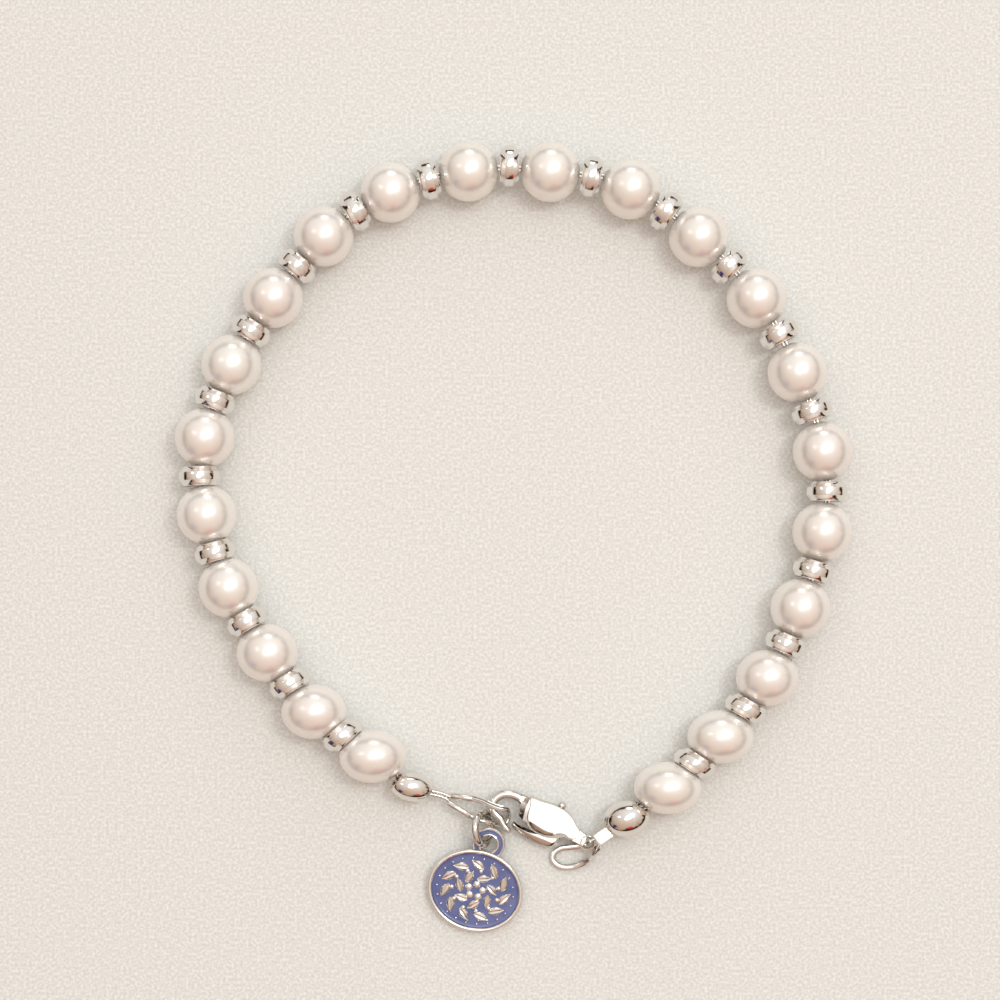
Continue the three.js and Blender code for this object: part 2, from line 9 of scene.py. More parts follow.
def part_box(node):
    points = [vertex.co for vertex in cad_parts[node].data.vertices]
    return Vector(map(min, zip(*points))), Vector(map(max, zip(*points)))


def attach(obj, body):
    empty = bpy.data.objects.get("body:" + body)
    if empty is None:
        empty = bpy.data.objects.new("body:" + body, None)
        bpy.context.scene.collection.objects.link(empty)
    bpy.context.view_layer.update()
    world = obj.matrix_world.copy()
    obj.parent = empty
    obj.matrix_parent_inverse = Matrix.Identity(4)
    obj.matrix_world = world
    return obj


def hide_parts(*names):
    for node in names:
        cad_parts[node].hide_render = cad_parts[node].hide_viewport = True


# A pearl bracelet on a pale table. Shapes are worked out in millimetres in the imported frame: +Z is up,
# the clasp is towards -Y, and the claw's and eyelet's places come from the clasp's own pin.

MM = 0.001
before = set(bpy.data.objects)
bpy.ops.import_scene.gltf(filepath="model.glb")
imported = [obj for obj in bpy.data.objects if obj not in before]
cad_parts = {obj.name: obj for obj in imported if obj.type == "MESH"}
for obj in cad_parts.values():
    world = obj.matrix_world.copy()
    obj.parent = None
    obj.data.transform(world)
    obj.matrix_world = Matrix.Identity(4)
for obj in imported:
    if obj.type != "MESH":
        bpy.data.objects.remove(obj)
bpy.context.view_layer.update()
scene = bpy.context.scene


# Colours and nodes

def shade(hex_colour):
    """An sRGB hex colour as linear values, with full alpha."""
    parts = [int(hex_colour[i:i + 2], 16) / 255 for i in (1, 3, 5)]
    return [c / 12.92 if c <= 0.04045 else ((c + 0.055) / 1.055) ** 2.4 for c in parts] + [1.0]


def add(tree, kind, inputs=None, **settings):
    """Adds a node: settings are its own properties, inputs are values or sockets for its inputs."""
    node = tree.nodes.new(kind)
    for key, value in settings.items():
        setattr(node, key, value)
    for key, value in (inputs or {}).items():
        if isinstance(value, bpy.types.NodeSocket):
            tree.links.new(value, node.inputs[key])
        else:
            node.inputs[key].default_value = value
    return node


def finish(name, colour, **shader):
    """A new material with a Principled shader. Returns it, its tree, the shader and Object coordinates."""
    material = bpy.data.materials.new(name)
    material.use_nodes = True
    tree = material.node_tree
    principled = tree.nodes["Principled BSDF"]
    principled.inputs["Base Color"].default_value = shade(colour)
    for key, value in shader.items():
        principled.inputs[key.replace("_", " ")].default_value = value
    place = add(tree, "ShaderNodeTexCoord").outputs["Object"]
    return material, tree, principled, place


def noise(tree, vector, size, detail, roughness=0.5):
    """The value of a noise pattern of this size in mm, on coordinates in metres."""
    return add(tree, "ShaderNodeTexNoise", {
        "Vector": vector, "Scale": 1 / (size * MM), "Detail": detail, "Roughness": roughness}).outputs["Fac"]


def emboss(tree, shader, height, strength, depth):
    """Gives a shader a bump of this depth in mm."""
    bump = add(tree, "ShaderNodeBump", {"Height": height, "Strength": strength, "Distance": depth * MM})
    tree.links.new(bump.outputs["Normal"], shader.inputs["Normal"])


def blend(tree, share, colour, second):
    """A colour mixed by the share with a second one, given in hex."""
    return add(tree, "ShaderNodeMix", {"Factor": share, "A": colour, "B": shade(second)},
               data_type="RGBA").outputs["Result"]


def ramp(tree, value, stops):
    """A colour ramp with (position, hex colour) stops."""
    node = add(tree, "ShaderNodeValToRGB", {"Fac": value})
    elements = node.color_ramp.elements
    while len(elements) < len(stops):
        elements.new(0.5)
    for element, (position, colour) in zip(elements, stops):
        element.position = position
        element.color = shade(colour)
    return node.outputs["Color"]


def glass_pearl():
    """Round glass pearl under pearl lacquer: a creamy body, a pink cast and a hard clear gloss."""
    material, tree, shader, place = finish(
        "glass pearl lacquer", "#FCF8F2", Metallic=0.42, Roughness=0.27, Coat_Weight=0.3,
        Coat_Roughness=0.13, Coat_IOR=1.5)
    # Lacquer dips leave soft cloudy drifts, and each pearl has a tone of its own
    clouds = ramp(tree, noise(tree, place, 3.2, 2.0), [(0.3, "#FAF4ED"), (0.55, "#FBF8F2"), (0.8, "#FEFCF8")])
    tone = add(tree, "ShaderNodeAttribute", attribute_name="tone").outputs["Fac"]
    tree.links.new(blend(tree, tone, clouds, "#FBF4F0"), shader.inputs["Base Color"])
    # Specks in the lacquer, felt more than seen
    emboss(tree, shader, noise(tree, place, 0.3, 3.0), 0.05, 0.01)
    return material


def polished_metal(name, colour, roughness, wear, grain):
    """Polished metal: mirror-like, with faint rubbed patches and hairlines from wear, sized in mm."""
    material, tree, shader, place = finish(name, colour, Metallic=1.0, Roughness=roughness)
    rub = add(tree, "ShaderNodeMapRange", {
        "Value": noise(tree, place, grain * 6, 3.0), "From Min": 0.35, "From Max": 0.75,
        "To Min": roughness, "To Max": roughness + wear})
    tree.links.new(rub.outputs["Result"], shader.inputs["Roughness"])
    # Stretched coordinates draw the noise out into hairlines
    hair = add(tree, "ShaderNodeMapping", {
        "Vector": place, "Scale": (1.0, 0.16, 0.5), "Rotation": (0.3, 0.2, 0.7)}).outputs["Vector"]
    emboss(tree, shader, noise(tree, hair, grain, 4.0, 0.6), 0.12, 0.012)
    return material


def blue_enamel():
    """Cold enamel filled into the tag: blue-violet, glossy, with a slightly uneven skin and paler drifts."""
    material, tree, shader, place = finish(
        "blue-violet enamel", "#5E699F", Roughness=0.3, Coat_Weight=0.6, Coat_Roughness=0.08)
    colour = ramp(tree, noise(tree, place, 1.6, 3.0), [(0.3, "#505B93"), (0.55, "#5F6AA2"), (0.8, "#737DB0")])
    tree.links.new(colour, shader.inputs["Base Color"])
    emboss(tree, shader, noise(tree, place, 0.7, 2.0), 0.4, 0.04)
    return material


pearl_lacquer = glass_pearl()
# Rhodium-plated silver: the whitest of the metals here, rolled and barrel polished
spacer_rhodium = polished_metal("rhodium-plated silver spacers", "#EDEAE6", 0.06, 0.08, 0.25)
bead_silver = polished_metal("polished silver beads", "#ECE8E3", 0.05, 0.07, 0.3)
guard_silver = polished_metal("silver-plated guard wire", "#E4E0DA", 0.09, 0.1, 0.2)
crimp_silver = polished_metal("pressed silver crimp", "#F0EDE8", 0.12, 0.12, 0.2)
# Tumbled stainless steel: a little greyer and softer than the silver
clasp_steel = polished_metal("tumbled stainless steel", "#E0DCD7", 0.07, 0.08, 0.22)
cable_steel = polished_metal("nylon-coated steel cable", "#DCD8D2", 0.16, 0.12, 0.2)
tag_silver = polished_metal("cast silver tag", "#EEEAE4", 0.1, 0.12, 0.25)
enamel = blue_enamel()


# Shapes, as (points, faces) in millimetres

def circle(count):
    """Evenly spaced angles round a circle."""
    return np.linspace(0, 2 * math.pi, count, endpoint=False)


def mirrored(half):
    """A closed half section of (radius, height) from its upper half."""
    return half + [(r, -y) for r, y in reversed(half)]


def skinned(rings, closed=False):
    """Rings of points joined side by side, the two ends capped unless the skin closes on itself."""
    count, size = len(rings), len(rings[0])
    faces = []
    for i in range(count if closed else count - 1):
        a, b = i * size, (i + 1) % count * size
        faces += [(a + j, a + (j + 1) % size, b + (j + 1) % size, b + j) for j in range(size)]
    if not closed:
        faces += [tuple(range(size))[::-1], tuple((count - 1) * size + j for j in range(size))]
    return np.concatenate([np.asarray(ring, float) for ring in rings]), faces


def joined(*shapes):
    """Several shapes as one."""
    points, faces, start = [], [], 0
    for shape_points, shape_faces in shapes:
        points.append(shape_points)
        faces += [tuple(start + k for k in face) for face in shape_faces]
        start += len(shape_points)
    return np.concatenate(points), faces


def moved(shape, matrix):
    """The shape taken through a matrix."""
    points, faces = shape
    m = np.array(matrix)
    return points @ m[:3, :3].T + m[:3, 3], faces


def turned_ring(section, sides):
    """A ring-shaped solid turned about +Y from a closed half section of (radius, height)."""
    return skinned([[(r * math.cos(a), y, r * math.sin(a)) for r, y in section] for a in circle(sides)],
                   closed=True)


def lying_ring(section, sides, centre):
    """The same turned about an upright axis through the centre."""
    return moved(turned_ring(section, sides), Matrix.Translation(centre) @ Matrix.Rotation(math.pi / 2, 4, "X"))


def smooth_path(points, step, closed=False):
    """A centripetal Catmull-Rom path through the points, resampled at an even step."""
    p = np.asarray(points, float)
    if closed:
        p = np.concatenate([p[-1:], p, p[:2]])
    else:
        p = np.concatenate([2 * p[:1] - p[1:2], p, 2 * p[-1:] - p[-2:-1]])
    fine = []
    for a, b, c, d in zip(p, p[1:], p[2:], p[3:]):
        t = np.cumsum([0] + [max(np.linalg.norm(v - u), 1e-9) ** 0.5 for u, v in ((a, b), (b, c), (c, d))])
        s = np.linspace(t[1], t[2], 16, endpoint=False)[:, None]
        ab = ((t[1] - s) * a + (s - t[0]) * b) / (t[1] - t[0])
        bc = ((t[2] - s) * b + (s - t[1]) * c) / (t[2] - t[1])
        cd = ((t[3] - s) * c + (s - t[2]) * d) / (t[3] - t[2])
        abc = ((t[2] - s) * ab + (s - t[0]) * bc) / (t[2] - t[0])
        bcd = ((t[3] - s) * bc + (s - t[1]) * cd) / (t[3] - t[1])
        fine.append(((t[2] - s) * abc + (s - t[1]) * bcd) / (t[2] - t[1]))
    fine = np.concatenate(fine + [p[1:2] if closed else p[-2:-1]])
    along = np.concatenate([[0], np.cumsum(np.linalg.norm(np.diff(fine, axis=0), axis=1))])
    count = max(3, int(round(along[-1] / step)))
    stations = np.linspace(0, along[-1], count + 1)
    if closed:
        stations = stations[:-1]
    return np.stack([np.interp(stations, along, fine[:, k]) for k in range(fine.shape[1])], axis=1)


def unit(v):
    return v / np.linalg.norm(v)


def tangents(path):
    return np.array([unit(v) for v in np.gradient(path, axis=0)])


def plate(outline, levels):
    """A plate from its smooth outline: levels are (how far the edge is drawn in, height), bottom to top.
    A third column of the outline gives the share of that inset at each point."""
    outline = np.asarray(outline, float)
    area = np.sum(outline[:, 0] * np.roll(outline[:, 1], -1) - outline[:, 1] * np.roll(outline[:, 0], -1))
    if area < 0:
        outline = outline[::-1]
    edge = np.roll(outline, -1, axis=0) - np.roll(outline, 1, axis=0)
    inward = np.stack([-edge[:, 1], edge[:, 0]], axis=1) / np.linalg.norm(edge[:, :2], axis=1)[:, None]
    if outline.shape[1] == 3:
        inward = inward * outline[:, 2:]
    return skinned([[(x, y, z) for x, y in outline[:, :2] + inward * inset] for inset, z in levels])


def ball(radius, centre, sides=20, rows=12):
    """A ball, cut flat at its poles."""
    rings = []
    for i in range(1, rows):
        angle = -math.pi / 2 + math.pi * i / rows
        r, z = radius * math.cos(angle), radius * math.sin(angle)
        rings.append([(centre[0] + r * math.cos(a), centre[1] + r * math.sin(a), centre[2] + z)
                      for a in circle(sides)])
    return skinned(rings)


def to_mesh(name, shape, sharp):
    """The shape as a mesh in metres, its faces outwards and smooth up to the given angle."""
    points, faces = shape
    mesh = bpy.data.meshes.new(name)
    mesh.from_pydata([tuple(p) for p in np.asarray(points) * MM], [], faces)
    work = bmesh.new()
    work.from_mesh(mesh)
    bmesh.ops.recalc_face_normals(work, faces=work.faces)
    work.to_mesh(mesh)
    work.free()
    mesh.shade_smooth()
    mesh.set_sharp_from_angle(angle=math.radians(sharp))
    return mesh


def dressed(name, mesh, material, nodes, body="bracelet"):
    """A finished piece that stands for CAD nodes and moves with their body."""
    piece = bpy.data.objects.new(name, mesh)
    scene.collection.objects.link(piece)
    if material is not None:
        mesh.materials.clear()
        mesh.materials.append(material)
    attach(piece, body)
    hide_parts(*nodes)
    return piece


# Geometry node trees

def new_tree(name, inputs, output):
    """A geometry node tree with named inputs, given as (name, socket type, default)."""
    tree = bpy.data.node_groups.new(name, "GeometryNodeTree")
    for label, kind, default in inputs:
        socket = tree.interface.new_socket(label, in_out="INPUT", socket_type=kind)
        if default is not None:
            socket.default_value = default
    tree.interface.new_socket(output, in_out="OUTPUT", socket_type="NodeSocketGeometry")
    return tree, add(tree, "NodeGroupInput").outputs


def threaded_beads_tree():
    """Copies of one bead at given places, each turned along the string and pressed oval in plan."""
    tree, given = new_tree("threaded beads", [
        ("Places", "NodeSocketGeometry", None), ("Bead", "NodeSocketObject", None),
        ("Size", "NodeSocketFloat", 1.0), ("Finish", "NodeSocketMaterial", None)], "Beads")
    bead = add(tree, "GeometryNodeObjectInfo", {"Object": given["Bead"]})
    turn = add(tree, "GeometryNodeInputNamedAttribute", {"Name": "turn"}, data_type="QUATERNION")
    centre = add(tree, "GeometryNodeInputNamedAttribute", {"Name": "centre"}, data_type="FLOAT_VECTOR")
    oval = add(tree, "GeometryNodeInputNamedAttribute", {"Name": "oval"}, data_type="FLOAT_VECTOR")
    copies = add(tree, "GeometryNodeInstanceOnPoints", {
        "Points": given["Places"], "Instance": bead.outputs["Geometry"],
        "Rotation": turn.outputs["Attribute"], "Scale": given["Size"]})
    real = add(tree, "GeometryNodeRealizeInstances", {"Geometry": copies.outputs["Instances"]})
    position = add(tree, "GeometryNodeInputPosition").outputs["Position"]
    middle = centre.outputs["Attribute"]
    out = add(tree, "ShaderNodeVectorMath", {0: position, 1: middle}, operation="SUBTRACT")
    pressed = add(tree, "ShaderNodeVectorMath", {
        0: out.outputs["Vector"], 1: oval.outputs["Attribute"], 2: middle}, operation="MULTIPLY_ADD")
    seated = add(tree, "GeometryNodeSetPosition", {
        "Geometry": real.outputs["Geometry"], "Position": pressed.outputs["Vector"]})
    painted = add(tree, "GeometryNodeSetMaterial", {
        "Geometry": seated.outputs["Geometry"], "Material": given["Finish"]})
    add(tree, "NodeGroupOutput", {"Beads": painted.outputs["Geometry"]})
    return tree


def twisted_strand_tree():
    """A laid wire strand that follows a path."""
    tree, given = new_tree("twisted strand", [
        ("Path", "NodeSocketGeometry", None), ("Wires", "NodeSocketInt", 7),
        ("Radius", "NodeSocketFloat", 0.15 * MM), ("Groove", "NodeSocketFloat", 0.007 * MM),
        ("Lay length", "NodeSocketFloat", 2.4 * MM), ("Step", "NodeSocketFloat", 0.12 * MM),
        ("Finish", "NodeSocketMaterial", None)], "Strand")
    curve = add(tree, "GeometryNodeMeshToCurve", {"Mesh": given["Path"]})
    even = add(tree, "GeometryNodeResampleCurve", {"Curve": curve.outputs["Curve"]}, mode="LENGTH")
    tree.links.new(given["Step"], even.inputs["Length"])
    length = add(tree, "GeometryNodeSplineParameter").outputs["Length"]
    turns = add(tree, "ShaderNodeMath", {0: length, 1: given["Lay length"]}, operation="DIVIDE")
    tilt = add(tree, "ShaderNodeMath", {0: turns.outputs["Value"], 1: 2 * math.pi}, operation="MULTIPLY")
    laid = add(tree, "GeometryNodeSetCurveTilt", {
        "Curve": even.outputs["Curve"], "Tilt": tilt.outputs["Value"]})
    inner = add(tree, "ShaderNodeMath", {0: given["Radius"], 1: given["Groove"]}, operation="SUBTRACT")
    section = add(tree, "GeometryNodeCurveStar", {
        "Points": given["Wires"], "Inner Radius": inner.outputs["Value"], "Outer Radius": given["Radius"]})
    wire = add(tree, "GeometryNodeCurveToMesh", {
        "Curve": laid.outputs["Curve"], "Profile Curve": section.outputs["Curve"], "Fill Caps": True})
    real = add(tree, "GeometryNodeRealizeInstances", {"Geometry": wire.outputs["Mesh"]})
    painted = add(tree, "GeometryNodeSetMaterial", {
        "Geometry": real.outputs["Geometry"], "Material": given["Finish"]})
    add(tree, "NodeGroupOutput", {"Strand": painted.outputs["Geometry"]})
    return tree


def grown(tree, source, **values):
    """The plain mesh that a tree makes from a source mesh, with inputs given by name."""
    holder = bpy.data.objects.new("source", source)
    scene.collection.objects.link(holder)
    modifier = holder.modifiers.new("grow", "NODES")
    modifier.node_group = tree
    for socket in tree.interface.items_tree:
        if socket.in_out == "INPUT" and socket.name in values:
            modifier[socket.identifier] = values[socket.name]
    bpy.context.view_layer.update()
    seen = holder.evaluated_get(bpy.context.evaluated_depsgraph_get())
    mesh = bpy.data.meshes.new_from_object(seen)
    holder.modifiers.remove(modifier)
    bpy.data.objects.remove(holder)
    return mesh


# Beads and spacers on the string

pearl_names = [f"pearl_{i:02d}" for i in range(1, 23)]
spacer_names = [f"spacer_{i:02d}" for i in range(1, 22)]
pearl_diameter, pearl_hole = 5.0, 0.84
# Length, diameter and hole
cover_sizes = {"left": (3.4, 2.7, 1.4), "right": (3.7, 3.28, 1.5)}
bead_sides = 56
# How oval the beads beside the clasp are, and where along Y that starts and is full
oval_excess, oval_from, oval_full = 0.29, -5.2, -21.0


def oval_scale(place):
    """Beads towards the clasp are wider along X than along Y."""
    t = min(max((oval_from - place[1]) / (oval_from - oval_full), 0), 1)
    excess = oval_excess * t * t * (3 - 2 * t)
    return np.array([math.sqrt(1 + excess), 1 / math.sqrt(1 + excess), 1])


def bead_place(node, flat=False):
    """A drilled bead's centre, the direction of its hole and its oval scale, from its solid."""
    points = np.array([v.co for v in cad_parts[node].data.vertices], float) / MM
    points = np.unique(np.round(points, 3), axis=0)
    centre = (points.min(0) + points.max(0)) / 2
    oval = oval_scale(centre)
    spread = (points - centre) / oval
    direction = np.linalg.eigh(spread.T @ spread)[1][:, 0 if flat else 2]
    return centre, direction, oval


def places_mesh(name, places):
    """Points that carry each bead's turn, oval scale and a tone of its own."""
    mesh = bpy.data.meshes.new(name)
    mesh.from_pydata([tuple(centre * MM) for centre, _, _ in places], [], [])
    turns = [Vector((0, 1, 0)).rotation_difference(Vector(direction)) for _, direction, _ in places]
    tones = np.random.default_rng(7).uniform(0, 0.6, len(places))
    for label, kind, values in (
            ("turn", "QUATERNION", [list(q) for q in turns]),
            ("centre", "FLOAT_VECTOR", [centre * MM for centre, _, _ in places]),
            ("oval", "FLOAT_VECTOR", [oval for _, _, oval in places]),
            ("tone", "FLOAT", tones)):
        attribute = mesh.attributes.new(label, kind, "POINT")
        field = "vector" if kind == "FLOAT_VECTOR" else "value"
        attribute.data.foreach_set(field, np.ravel(values).astype(np.float32))
    return mesh


def bead_section(length, diameter, hole, steps, lip):
    """Half section of an oval bead: the outside from rim to rim, a rounded lip and the hole's wall."""
    end = math.acos((hole + 2 * lip) / diameter)
    outside = [(diameter / 2 * math.cos(a), length / 2 * math.sin(a))
               for a in np.linspace(-end, end, steps + 1)]
    inner, y = hole / 2, outside[-1][1]
    rim = [(inner + lip * 0.35, y - lip * 0.05), (inner, y - lip * 0.6), (inner, 0.0)]
    return outside + rim + [(r, -height) for r, height in rim[1::-1]]


def spacer_section():
    """Half section of a spacer: a flat polished band, sloping shoulders and a dished end on each side."""
    return mirrored([
        (1.71, 0.30), (1.695, 0.345), (1.655, 0.385), (1.53, 0.545), (1.42, 0.68), (1.39, 0.755),
        (1.34, 0.8), (1.27, 0.795), (1.2, 0.745), (1.0, 0.595), (0.78, 0.475), (0.62, 0.41), (0.56, 0.38)])


def strung(name, bead_shape, sharp, places, material, nodes):
    """One piece of all the beads of a kind."""
    bead = bpy.data.objects.new("one bead", to_mesh("one bead", bead_shape, sharp))
    scene.collection.objects.link(bead)
    mesh = grown(beads_tree, places_mesh("places", places), Bead=bead, Finish=material, Size=1.0)
    bpy.data.objects.remove(bead)
    return dressed(name, mesh, None, nodes)


beads_tree = threaded_beads_tree()
pearls = [bead_place(name) for name in pearl_names]
spacers = [bead_place(name, flat=True) for name in spacer_names]
covers = {side: bead_place(f"cover_bead_{side}") for side in cover_sizes}
pearl_shape = turned_ring(bead_section(pearl_diameter, pearl_diameter, pearl_hole, 30, 0.07), bead_sides)
strung("pearls", pearl_shape, 60, pearls, pearl_lacquer, pearl_names)
spacer_shape = turned_ring(spacer_section(), bead_sides)
strung("spacers", spacer_shape, 24, spacers, spacer_rhodium, spacer_names)
for side, sizes in cover_sizes.items():
    cover_shape = turned_ring(bead_section(*sizes, 22, 0.08), bead_sides)
    strung(f"cover_bead_{side}_polished", cover_shape, 50, [covers[side]], bead_silver,
           [f"cover_bead_{side}"])


# The clasp's frame: the claw's centre at the origin, the tail along +X, the spine towards +Y

clasp_turn = math.radians(-24.6)
clasp_length, half_width, claw_thickness = 6.94, 1.75, 0.94
pivot = np.array([clasp_length * 0.59, -half_width * 0.2])
# The middle of the clasp's thickness, over the table
middle = 1.1
pin_low, pin_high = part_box("clasp_pin")
pin_centre = np.array((pin_low + pin_high) / 2) / MM


def turn(point, angle):
    """A point of the plan turned about the origin."""
    c, s = math.cos(angle), math.sin(angle)
    return np.array([c * point[0] - s * point[1], s * point[0] + c * point[1]])


claw_centre = pin_centre[:2] - turn(pivot, clasp_turn)
eyelet_centre = claw_centre + turn((clasp_length, 0), clasp_turn)
clasp_place = Matrix.Translation((claw_centre[0], claw_centre[1], 0)) @ Matrix.Rotation(clasp_turn, 4, "Z")


def claw_shape():
    """The hook, from the shoulder over the ring and down to its blunt tip."""
    radius, drop, width, sides = 1.2, 0.12, 0.78, 24
    # Shares of the radius, by the angle in degrees, where the hook bulges out on its far side
    bulge = {110: 1.04, 130: 1.13, 150: 1.24, 170: 1.34, 190: 1.35, 210: 1.22, 228: 1.08}
    arc = []
    for degrees in (38, 55, 72, 90, 110, 130, 150, 170, 190, 210, 228, 243):
        a, reach = math.radians(degrees), radius * bulge.get(degrees, 1)
        arc.append((reach * math.cos(a), reach * math.sin(a) - drop))
    path = smooth_path(arc + [(-0.18, -1.46), (0.14, -1.67), (0.5, -1.83), (0.72, -1.9)], 0.07)
    rings = []
    for i, (place, ahead) in enumerate(zip(path, tangents(path))):
        share = i / (len(path) - 1)
        # Thinner over the second half, and rounded off at the tip
        taper = 1 - 0.42 * max(0, share - 0.55) / 0.45
        if share > 0.94:
            taper *= math.sqrt(max(0.04, 1 - ((share - 0.94) / 0.062) ** 2))
        across = np.array([-ahead[1], ahead[0]])
        ring = []
        for a in circle(sides):
            c, s = math.cos(a), math.sin(a)
            x = math.copysign(abs(c) ** 0.85, c) * width / 2 * taper
            z = math.copysign(abs(s) ** 0.8, s) * claw_thickness / 2 * (0.5 + 0.5 * taper)
            ring.append((*(place + across * x), middle + z))
        rings.append(ring)
    return skinned(rings)


def clasp_body_shape():
    """Two faceted cheeks with a collar behind the claw, what lies between them, the claw and the eyelet."""
    # Along the clasp, across it, and how wide the facets are there: broad below, narrow on the spine
    cheek = smooth_path(np.array([
        (0.145, 0.87, 0.4), (0.29, 0.95, 0.35), (0.44, 1.02, 0.3), (0.58, 1.0, 0.3), (0.7, 0.84, 0.3),
        (0.79, 0.57, 0.25), (0.86, 0.36, 0.2), (0.875, 0.12, 0.15), (0.84, -0.1, 0.3), (0.76, -0.24, 0.7),
        (0.7, -0.25, 1.0), (0.62, -0.46, 1.3), (0.5, -0.6, 1.5), (0.33, -0.56, 1.6), (0.22, -0.36, 1.2),
        (0.185, 0.0, 0.6), (0.165, 0.5, 0.5)]) * (clasp_length, half_width, 1), 0.1, closed=True)
    # How far the edge is drawn in, and the depth under the cheek's face
    facets = [(0.1, 0.65), (0.0, 0.6), (0.0, 0.44), (0.03, 0.37), (0.3, 0.05), (0.33, 0.02), (0.36, 0.0),
              (0.4, 0.0)]
    top = plate(cheek, [(inset, 2 * middle - depth) for inset, depth in facets])
    bottom = plate(cheek, [(inset, depth) for inset, depth in facets[::-1]])
    # Rows of (along, across, height from the middle), from the cheek towards the claw
    collar_rows = [
        [(1.6, 1.42, 0.5), (1.5, 0.6, 0.5), (1.6, -0.42, 0.5)],
        [(1.6, 1.5, 0.95), (1.5, 0.6, 0.98), (1.6, -0.5, 0.9)],
        [(1.06, 1.45, 0.92), (1.0, 0.6, 0.94), (1.2, -0.52, 0.84)],
        [(0.62, 1.24, 0.56), (0.52, 0.56, 0.55), (0.76, -0.28, 0.53)],
        [(0.6, 1.2, 0.1), (0.5, 0.56, 0.1), (0.66, 0.28, 0.1)]]
    collar = joined(*[skinned([[(x, y, middle + side * z) for x, y, z in row] for row in collar_rows])
                      for side in (-1, 1)])
    # Between the cheeks: the spine, the claw's shoulder, the tail and the eyelet's neck
    plain = [(0, 0.5), (0, 1.7)]
    between = [plate(smooth_path(outline, step, closed=True), levels) for outline, step, levels in (
        ([(1.0, 0.58), (1.02, 1.36), (2.0, 1.52), (2.98, 1.66), (3.02, 0.9), (2.6, 0.72)], 0.1, plain),
        ([(0.2, 0.8), (0.45, 0.66), (0.7, 0.3), (1.25, 0.05), (1.72, 0.3), (1.76, 1.4), (1.1, 1.42),
          (0.2, 1.36)], 0.08, [(0.12, 0.64), (0.0, 0.76), (0.0, 1.44), (0.12, 1.56)]),
        ([(5.2, -0.3), (5.24, 1.0), (5.6, 0.8), (6.0, 0.5), (6.1, 0.1), (5.8, -0.25)], 0.08, plain),
        ([(5.5, -0.33), (6.3, -0.46), (6.7, -0.5), (6.72, 0.52), (6.3, 0.66), (5.5, 0.82)], 0.08,
         [(0.1, 0.7), (0.0, 0.78), (0.0, 1.42), (0.1, 1.5)]))]
    eyelet = lying_ring(mirrored([(0.42, 0.3), (0.46, 0.38), (0.54, 0.43), (0.6, 0.41), (0.66, 0.33),
                                  (0.68, 0.2)]), 40, (clasp_length, 0, middle))
    return moved(joined(top, bottom, collar, *between, eyelet, claw_shape()), clasp_place)


def clasp_lever_shape():
    """The see-saw lever: a flat arm that closes the claw, a leg across the clasp and the thumb's ball."""
    # Along the clasp, across it, and how far the edge is rounded there
    arm = smooth_path([
        (0.52, -1.2, 0.5), (0.68, -1.44, 0.8), (1.4, -1.66, 1.3), (2.1, -1.76, 1.5), (3.6, -1.77, 1.7),
        (4.4, -1.6, 1.4), (4.72, -1.1, 1), (4.66, -0.25, 0.7), (4.2, 0.8, 0.4), (3.86, 1.75, 0.3),
        (3.58, 1.75, 0.3), (3.6, 0.8, 0.4), (3.52, -0.28, 0.5), (2.8, -0.9, 0.7), (1.55, -1.03, 0.7),
        (0.9, -1.02, 0.5), (0.62, -0.93, 0.4)], 0.08, closed=True)
    body = plate(arm, [
        (0.3, 0.75), (0.24, 0.76), (0.06, 0.9), (0.0, 1.0), (0.0, 1.12), (0.04, 1.2), (0.25, 1.42),
        (0.28, 1.445), (0.31, 1.45), (0.34, 1.45)])
    thumb_ball = ball(0.37, (clasp_length * 0.537, half_width * 1.1, middle))
    return moved(joined(body, thumb_ball), clasp_place)


def clasp_pin_shape():
    """A plain pin with softened edges, from rows of (height, radius)."""
    x, y = pin_centre[:2]
    rows = [(0.0, 0.2), (0.02, 0.215), (2.18, 0.215), (2.21, 0.19), (2.225, 0.1)]
    return skinned([[(x + r * math.cos(a), y + r * math.sin(a), z) for a in circle(24)] for z, r in rows])


dressed("clasp_body_polished", to_mesh("clasp body", clasp_body_shape(), 28), clasp_steel,
        ["clasp_body"])
dressed("clasp_lever_polished", to_mesh("clasp lever", clasp_lever_shape(), 34), clasp_steel,
        ["clasp_lever"], body="lever")
dressed("clasp_pin_polished", to_mesh("clasp pin", clasp_pin_shape(), 40), clasp_steel,
        ["clasp_pin"])


# Wire guards: a sleeve at each end and an open channel between them, bent round a loop

floor_gap, guard_radius, sleeve_radius = 0.05, 0.21, 0.28
# Heights over the table of a guard that lies on it, of one over the claw, of the left sleeves, the crimp
on_table = guard_radius + floor_gap
over_claw = middle + claw_thickness / 2 + guard_radius + 0.16
mouth, crimp_height = 1.4, 2.02
